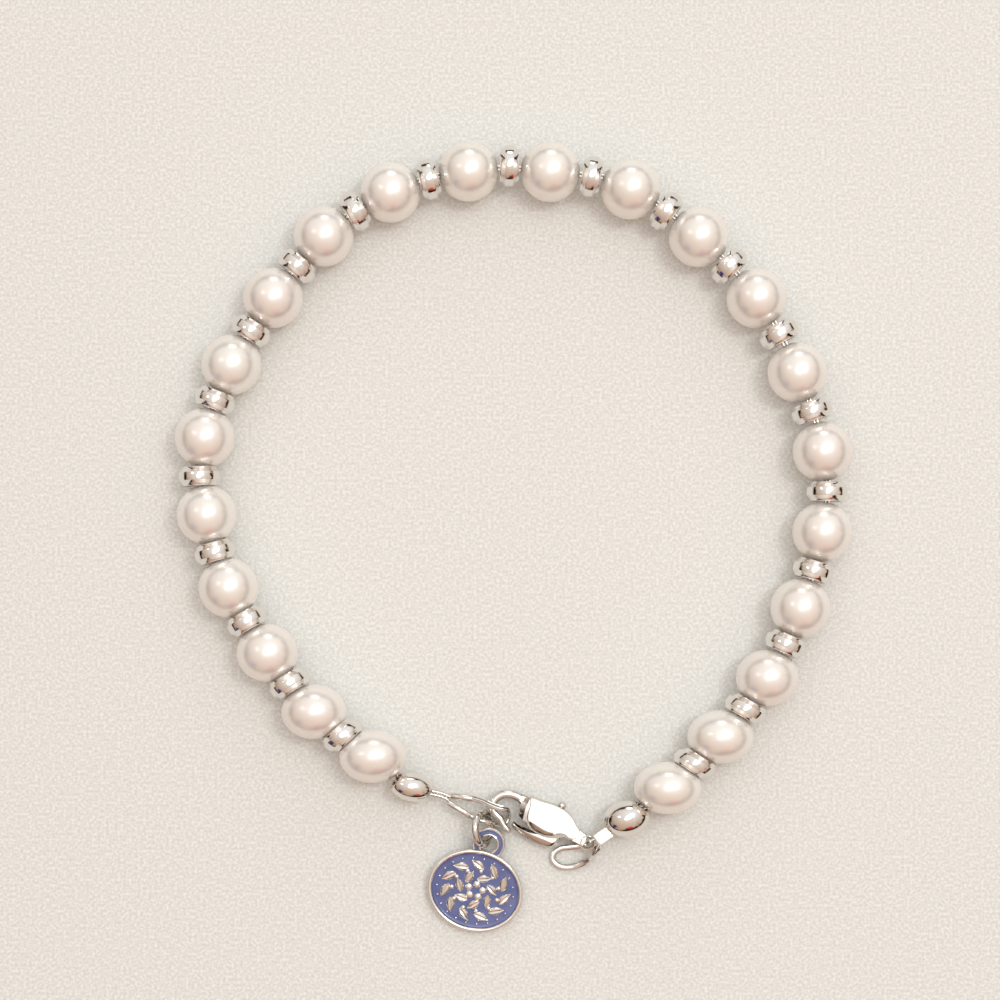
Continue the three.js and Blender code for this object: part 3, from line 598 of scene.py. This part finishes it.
# Rows of (x, y, height), the left ones from the claw's centre and the right ones from the eyelet's
left_route = [
    (-5.08, 1.04, mouth), (-3.29, 0.83, over_claw - 0.25), (-2.33, 0.54, over_claw - 0.06),
    (-1.67, 0.25, over_claw), (-1.08, 0.04, over_claw), (-0.63, -0.08, over_claw - 0.1),
    (-0.34, -0.24, middle + 0.25), (-0.24, -0.4, middle - 0.35), (-0.3, -0.82, on_table),
    (-0.54, -1.28, on_table), (-1.0, -1.43, on_table + 0.1), (-1.46, -1.32, on_table + 0.52),
    (-2.03, -1.15, mouth - 0.1), (-2.67, -1.02, mouth + 0.04), (-3.42, -0.67, mouth), (-5.33, 0.46, mouth)]
right_route = [
    (0.31, 0.22, crimp_height), (0.15, 0.11, crimp_height - 0.02), (0.02, 0.01, crimp_height - 0.3),
    (-0.02, -0.02, middle), (-0.1, -0.08, on_table + 0.22), (-0.4, -0.24, on_table), (-0.86, -0.34, on_table),
    (-1.5, -0.42, on_table), (-2.25, -0.54, on_table), (-2.75, -0.89, on_table), (-2.92, -1.42, on_table),
    (-2.54, -1.94, on_table), (-1.83, -2.17, on_table), (-0.95, -2.05, on_table + 0.05),
    (-0.28, -1.75, on_table + 0.25), (0.26, -1.36, crimp_height - 1.05), (0.81, -0.43, crimp_height)]


def channel(path, hub, deeper, wider):
    """An open gutter along the path whose mouth faces away from the hub of the loop."""
    half_mouth, wall, steps = 48, 0.06, 23
    angles = np.radians(np.linspace(half_mouth, 360 - half_mouth, steps))
    section = [(guard_radius, a) for a in angles] + [(guard_radius - wall, a) for a in angles[::-1]]
    rings = []
    for place, ahead in zip(path, tangents(path)):
        out = place - hub
        out = unit(out - ahead * np.dot(out, ahead))
        side = np.cross(ahead, out)
        rings.append([place + out * r * math.cos(a) * deeper + side * r * math.sin(a) * wider
                      for r, a in section])
    return skinned(rings)


def sleeve(start, end):
    """A short open tube with rolled lips."""
    span = end - start
    half = np.linalg.norm(span) / 2
    section = mirrored([(sleeve_radius, half - 0.03), (sleeve_radius - 0.02, half), (0.215, half),
                        (0.2, half - 0.04)])
    heading = Vector((0, 1, 0)).rotation_difference(Vector(span)).to_matrix().to_4x4()
    return moved(turned_ring(section, 32), Matrix.Translation((start + span / 2).tolist()) @ heading)


def guard_shape(points, deeper, wider):
    """A guard along the points, its first and last two in the sleeves. Returns it and its path."""
    path = smooth_path(points, 0.09)
    hub = path[len(path) // 5: -len(path) // 5].mean(axis=0)
    near = lambda place: int(np.argmin(np.linalg.norm(path - place, axis=1)))
    bend = path[near(points[1]) - 1: near(points[-2]) + 2]
    sleeves = [sleeve(points[0], points[1]), sleeve(points[-2], points[-1])]
    return joined(channel(bend, hub, deeper, wider), *sleeves), path


def line_mesh(points):
    """A path as loose edges in metres."""
    mesh = bpy.data.meshes.new("line")
    edges = [(i, i + 1) for i in range(len(points) - 1)]
    mesh.from_pydata([tuple(p) for p in np.asarray(points) * MM], edges, [])
    return mesh


def merged(meshes):
    """Several meshes as one."""
    work = bmesh.new()
    for mesh in meshes:
        work.from_mesh(mesh)
    whole = bpy.data.meshes.new("merged")
    work.to_mesh(whole)
    work.free()
    return whole


strand_tree = twisted_strand_tree()


def strand(points, radius):
    """A laid strand of the cable."""
    mesh = grown(strand_tree, line_mesh(points), Radius=radius * MM, Finish=cable_steel)
    mesh.shade_smooth()
    return mesh


left_points = np.array(left_route) + (*claw_centre, 0)
right_points = np.array(right_route) + (*eyelet_centre, 0)
left_guard, left_path = guard_shape(left_points, 1.0, 1.35)
right_guard, right_path = guard_shape(right_points, 1.4, 1.0)
dressed("guard_left_channel", to_mesh("left guard", left_guard, 40), guard_silver,
        ["guard_left"])
dressed("guard_right_channel", to_mesh("right guard", right_guard, 40), guard_silver,
        ["guard_right"])


# The doubled cable: two laid strands side by side through every bead, and one round each guard

crimp_length = 1.45
# Radius of a strand in the beads and in a guard, and how far the two lie from the string's middle
strand_radius, guard_strand_radius, strand_offset = 0.15, 0.12, 0.145


def string_route():
    """The string from the left guard through every bead to the crimp, and the crimp's centre and heading."""
    points = [np.array(point) + (*claw_centre, 0) for point in ((-5.28, 0.84, 1.44), (-5.9, 1.12, 1.54))]
    # Each bead, and how far its hole is straight on both sides of its centre
    stops = [(pearl, pearl_diameter * 0.4) for pearl in pearls]
    stops.insert(0, (covers["left"], cover_sizes["left"][0] / 4))
    stops.append((covers["right"], cover_sizes["right"][0] / 4))
    for i, ((centre, direction, oval), half) in enumerate(stops):
        ahead = stops[min(i + 1, len(stops) - 1)][0][0] - stops[max(i - 1, 0)][0][0]
        along = unit(direction * oval)
        along = along if np.dot(along, ahead) > 0 else -along
        points += [centre - along * half, centre + along * half]
    crimp = np.array((1.3, 0.59, crimp_height)) + (*eyelet_centre, 0)
    heading = np.array([*turn((1, 0), math.radians(34.9)), 0])
    return points + [crimp + heading * crimp_length / 2, crimp, crimp - heading * 0.7], crimp, heading


def beside_string(path, offset, left_sleeve, right_sleeve):
    """The string's path moved sideways in plan, its ends led into a sleeve of each guard."""
    ahead = tangents(path)
    side = np.stack([-ahead[:, 1], ahead[:, 0], np.zeros(len(path))], axis=1)
    shifted = path + offset * side / np.linalg.norm(side, axis=1)[:, None]
    inside = lambda ends: [ends[0] * (1 - t) + ends[1] * t for t in (0.5, 0.06)]
    return smooth_path(np.vstack([inside(left_sleeve), shifted[:-2], inside(right_sleeve)[::-1]]), 0.2)


route, crimp_centre, crimp_heading = string_route()
string = smooth_path(route, 0.25)
strands = [strand(beside_string(string, offset, left, right), strand_radius) for offset, left, right in (
    (-strand_offset, left_points[:2], right_points[:2]),
    (strand_offset, left_points[:-3:-1], right_points[:-3:-1]))]
# In a guard the strand ends inside the sleeves
strands += [strand(path[8:-8], guard_strand_radius) for path in (left_path, right_path)]
cable = dressed("doubled_cable", merged(strands), cable_steel, ["bead_cable"])
cable.data.shade_smooth()


# Crimp, jump ring

def crimp_shape():
    """A tube pressed flat: a rounded box section, waisted where the pliers closed it."""
    width, thickness, rounding = 1.1, 0.72, 0.09
    side = np.array([-crimp_heading[1], crimp_heading[0], 0])
    # Shares of the length, the width and the thickness
    rows = [(-0.5, 0.93, 0.9), (-0.49, 0.98, 0.96), (-0.46, 1.0, 1.0), (-0.3, 1.0, 1.0), (0.0, 1.02, 0.96),
            (0.3, 1.0, 1.0), (0.46, 1.0, 1.0), (0.49, 0.98, 0.96), (0.5, 0.93, 0.9)]
    bore = [(0.5, 0.6, 0.55), (0.42, 0.56, 0.5), (-0.42, 0.56, 0.5), (-0.5, 0.6, 0.55)]
    corner = [(rounding * math.cos(a), rounding * math.sin(a)) for a in np.radians(np.arange(0, 91, 15))]
    rings = []
    for share, w, t in rows + bore:
        x, z = width / 2 * w - rounding, thickness / 2 * t - rounding
        quarter = [(x + u, z + v) for u, v in corner]
        half = quarter + [(-u, v) for u, v in quarter[::-1]]
        centre = crimp_centre + crimp_heading * crimp_length * share
        rings.append([centre + side * u + (0, 0, v) for u, v in half + [(-u, -v) for u, v in half]])
    return skinned(rings, closed=True)


def jump_ring_shape():
    """A round wire ring with the fine cut where it was opened."""
    diameter, wire = 3.26, 0.68
    lean = math.radians(59)
    along = np.array([*turn((0, 1), math.radians(4)), 0])
    across = np.array([*turn(along[:2], math.pi / 2) * math.cos(lean), math.sin(lean)])
    normal = np.cross(along, across)
    centre = np.array([claw_centre[0] - 2.42, claw_centre[1] - 1.7, 1.45])
    cut = 0.03
    rings = []
    for a in np.linspace(cut, 2 * math.pi - cut, 72) + math.radians(150):
        out = along * math.cos(a) + across * math.sin(a)
        place = centre + out * (diameter - wire) / 2
        rings.append([place + (out * math.cos(b) + normal * math.sin(b)) * wire / 2 for b in circle(24)])
    return skinned(rings)


dressed("crimp_pressed", to_mesh("crimp", crimp_shape(), 30), crimp_silver, ["crimp_tube"])
dressed("jump_ring_cut", to_mesh("jump ring", jump_ring_shape(), 50), clasp_steel, ["jump_ring"])


# Tag, in its own frame: its disc's centre at the origin, the ear along +Y, the back on z = 0

tag_width, tag_height, tag_top, tag_floor, rim = 8.08, 6.95, 0.9, 0.5, 0.34
ear_reach, ear_radius, ear_hole, ear_top = 4.1, 1.4, 0.73, 0.64
# It leans on its low edge, with the ear lifted by the jump ring
tag_place = (
    Matrix.Translation((claw_centre[0] - 3.06, claw_centre[1] - 6.84, 0))
    @ Matrix.Rotation(math.radians(-16), 4, "Z") @ Matrix.Translation((0, -tag_height / 2, 0))
    @ Matrix.Rotation(math.radians(5.9), 4, "X") @ Matrix.Translation((0, tag_height / 2, 0)))


def ellipse(width, height):
    return [(width / 2 * math.cos(a), height / 2 * math.sin(a)) for a in circle(96)]


def leaf_shape(length, width, height):
    """A small domed leaf with a groove down its middle."""
    across = [(-1.0, 0.0), (-0.8, 0.62), (-0.42, 1.0), (0.0, 0.66), (0.42, 1.0), (0.8, 0.62), (1.0, 0.0)]
    rings = []
    for t in np.linspace(0.02, 0.98, 11):
        w = width / 2 * math.sin(math.pi * t ** 0.85) ** 0.8 + 0.01
        h = height * (0.45 + 0.55 * math.sin(math.pi * t) ** 0.6)
        x = length * (t - 0.5)
        rings.append([(x, w * v, h * z) for v, z in across] + [(x, w * 0.9, -0.12), (x, -w * 0.9, -0.12)])
    return skinned(rings)


def berry_shape(radius, height):
    """A small dome."""
    levels = [(1, -0.12), (1, 0.0), (0.93, 0.36 * height), (0.72, 0.72 * height), (0.4, 0.94 * height),
              (0.12, height)]
    return skinned([[(r * radius * math.cos(a), r * radius * math.sin(a), z) for a in circle(14)]
                    for r, z in levels])


def relief():
    """Two rings of leaves and three of berries round an open middle, all standing out of the enamel."""
    squash, base = tag_height / tag_width, tag_floor + 0.2
    seats = []
    # Number, then ring radius, leaf length and width by the tag's width, then slant and start in degrees
    for count, radius, length, width, slant, start in (
            (11, 0.318, 0.168, 0.092, 58, 0), (7, 0.175, 0.15, 0.088, -52, 20)):
        leaf = leaf_shape(length * tag_width, width * tag_width, 0.19)
        for i in range(count):
            angle = math.radians(start + 360 * i / count)
            seats.append((leaf, angle, radius, angle + math.radians(slant)))
    # Number, then ring radius and berry radius by the tag's width, then start in degrees
    for count, radius, size, start in ((5, 0.078, 0.04, 18), (11, 0.247, 0.026, 24), (22, 0.402, 0.014, 8)):
        berry = berry_shape(size * tag_width, 0.15)
        seats += [(berry, math.radians(start + 360 * i / count), radius, 0) for i in range(count)]
    pieces = []
    for shape, angle, radius, spin in seats:
        reach = radius * tag_width
        place = Matrix.Translation((reach * math.cos(angle), reach * math.sin(angle) * squash, base))
        pieces.append(moved(shape, place @ Matrix.Rotation(spin, 4, "Z")))
    return joined(*pieces)


def tag_shape():
    """The disc with its raised rim and sunk field, the ear with its groove, and the relief."""
    disc = plate(ellipse(tag_width, tag_height), [
        (0.12, 0.0), (0.05, 0.02), (0.0, 0.1), (0.0, 0.76), (0.04, 0.85), (0.1, 0.895), (0.18, tag_top),
        (rim - 0.08, 0.885), (rim - 0.02, 0.83), (rim, 0.74), (rim, tag_floor)])
    ear = lying_ring([
        (ear_hole, 0.08), (ear_hole + 0.06, 0.0), (ear_radius - 0.07, 0.0), (ear_radius, 0.08),
        (ear_radius, 0.54), (ear_radius - 0.04, 0.61), (ear_radius - 0.1, ear_top), (ear_radius - 0.17, 0.62),
        (ear_radius - 0.2, 0.48), (ear_hole + 0.15, 0.48), (ear_hole + 0.12, 0.62), (ear_hole + 0.06, ear_top),
        (ear_hole, 0.58)], 64, (0, ear_reach, 0))
    return moved(joined(disc, ear, relief()), tag_place)


def enamel_shapes():
    """The pool of enamel in the disc, drawn up a little at its edge, and the ring of it in the ear."""
    inset = rim + 0.015
    pool = plate(ellipse(tag_width - 2 * inset, tag_height - 2 * inset), [
        (0.0, tag_floor + 0.01), (0.0, 0.76), (0.03, 0.735), (0.09, 0.705), (0.2, 0.692), (0.32, 0.69),
        (0.45, 0.7), (0.58, 0.69)])
    ear = lying_ring([
        (ear_hole + 0.165, 0.49), (ear_radius - 0.215, 0.49), (ear_radius - 0.215, 0.6),
        (ear_radius - 0.26, 0.585), (ear_hole + 0.21, 0.585), (ear_hole + 0.165, 0.6)],
        64, (0, ear_reach, 0))
    return moved(pool, tag_place), moved(ear, tag_place)


pool_shape, ear_enamel_shape = enamel_shapes()
dressed("tag_cast", to_mesh("tag", tag_shape(), 38), tag_silver, ["tag"])
dressed("tag_enamel_pool", to_mesh("tag enamel", pool_shape, 40), enamel, ["tag_enamel"])
dressed("ear_enamel_ring", to_mesh("ear enamel", ear_enamel_shape, 40), enamel,
        ["tag_ear_enamel"])


# Table, light and camera

def table():
    """A pale warm table top, matt, with the faintest mottling."""
    material, tree, shader, place = finish("matt laminate table top", "#E5E7E4", Roughness=0.55, IOR=1.45)
    colour = ramp(tree, noise(tree, place, 0.24, 2.0), [(0.3, "#D9DBD9"), (0.5, "#E5E7E4"), (0.66, "#F4F5F1")])
    tree.links.new(colour, shader.inputs["Base Color"])
    half = 1.6
    mesh = bpy.data.meshes.new("table top")
    corners = [(-half, -half, 0), (half, -half, 0), (half, half, 0), (-half, half, 0)]
    mesh.from_pydata(corners, [], [(0, 1, 2, 3)])
    mesh.materials.append(material)
    top = bpy.data.objects.new("table top", mesh)
    scene.collection.objects.link(top)


def area_light(name, place, size, power, colour):
    """A soft oval light that faces the origin."""
    data = bpy.data.lights.new(name, "AREA")
    data.shape, data.size, data.size_y, data.energy = "ELLIPSE", size[0], size[1], power
    data.color = shade(colour)[:3]
    light = bpy.data.objects.new(name, data)
    light.location = place
    light.rotation_euler = (-Vector(place)).to_track_quat("-Z", "Y").to_euler()
    scene.collection.objects.link(light)


def room():
    """The room that metal and pearls mirror: white above and behind, dark and warm low on the near side."""
    world = bpy.data.worlds.new("room")
    world.use_nodes = True
    tree = world.node_tree
    way = add(tree, "ShaderNodeTexCoord").outputs["Generated"]
    axes = add(tree, "ShaderNodeSeparateXYZ", {"Vector": way})
    # An uneven skyline of dark furniture stands along the foot of the bright walls
    skyline = add(tree, "ShaderNodeTexNoise", {"Vector": way, "Scale": 2.6, "Detail": 3.0, "Roughness": 0.55})
    rise = add(tree, "ShaderNodeMapRange", {
        "Value": skyline.outputs["Fac"], "From Min": 0.4, "From Max": 0.66, "To Min": 0.0, "To Max": 0.34})
    over = add(tree, "ShaderNodeMath", {0: axes.outputs["Z"], 1: rise.outputs["Result"]}, operation="SUBTRACT")
    height = ramp(tree, over.outputs["Value"], [
        (0.0, "#35302E"), (0.05, "#7C756F"), (0.12, "#D5D1CD"), (0.28, "#F3F1EF"), (1.0, "#FFFFFF")])
    near = ramp(tree, add(tree, "ShaderNodeMapRange", {
        "Value": axes.outputs["Y"], "From Min": -1.0, "From Max": 0.4}).outputs["Result"],
        [(0.0, "#D9B6A2"), (0.3, "#E2CBBB"), (0.6, "#F0E9E3"), (1.0, "#FFFFFF")])
    aside = ramp(tree, add(tree, "ShaderNodeMapRange", {
        "Value": axes.outputs["X"], "From Min": -1.0, "From Max": 1.0}).outputs["Result"],
        [(0.05, "#D8C8BB"), (0.25, "#F0EAE4"), (0.5, "#FFFFFF"), (0.75, "#FFFFFF"), (0.93, "#EEE0D4")])
    walls = height
    for factor in (near, aside):
        walls = add(tree, "ShaderNodeVectorMath", {0: walls, 1: factor}, operation="MULTIPLY").outputs["Vector"]
    # A red and a blue thing low on the near side, which polished metal picks up
    spot_edge, strength = 0.984, 1.03
    for direction, colour in (((0.25, -0.87, 0.36), "#D8402A"), ((-0.66, -0.62, 0.34), "#22378F")):
        toward = add(tree, "ShaderNodeVectorMath", {0: way, 1: Vector(direction).normalized()},
                     operation="DOT_PRODUCT").outputs["Value"]
        share = add(tree, "ShaderNodeMapRange", {
            "Value": toward, "From Min": spot_edge, "From Max": (1 + spot_edge) / 2, "To Max": 0.9})
        walls = blend(tree, share.outputs["Result"], walls, colour)
    tree.links.new(walls, tree.nodes["Background"].inputs["Color"])
    tree.nodes["Background"].inputs["Strength"].default_value = strength
    scene.world = world


table()
room()
# Name, place, size, watts and colour
for light in (
        ("soft box above", (0.16, 0.2, 1.05), (0.55, 1.05), 1.9, "#FCFCFA"),
        ("key inside it", (0.36, 0.16, 0.95), (0.14, 0.26), 1.35, "#FCFCFA"),
        ("window at the back", (0.06, 1.05, 0.36), (0.4, 0.26), 0.5, "#FFFFFF"),
        ("lamp at the left", (-0.58, 0.26, 0.8), (0.14, 0.24), 0.16, "#FFFFFF")):
    area_light(*light)

# The camera looks straight down at the table, above a point below the middle of the picture
focal_px, picture_px, sensor_width = 2800, 1000, 36
camera_place = (-1.144, -9.337, 235.8)
camera_data = bpy.data.cameras.new("camera")
camera_data.sensor_width = sensor_width
camera_data.lens = sensor_width * focal_px / picture_px
camera_data.shift_y = 0.15
camera = bpy.data.objects.new("camera", camera_data)
camera.location = [v * MM for v in camera_place]
scene.collection.objects.link(camera)
scene.camera = camera
scene.view_settings.view_transform = "Standard"
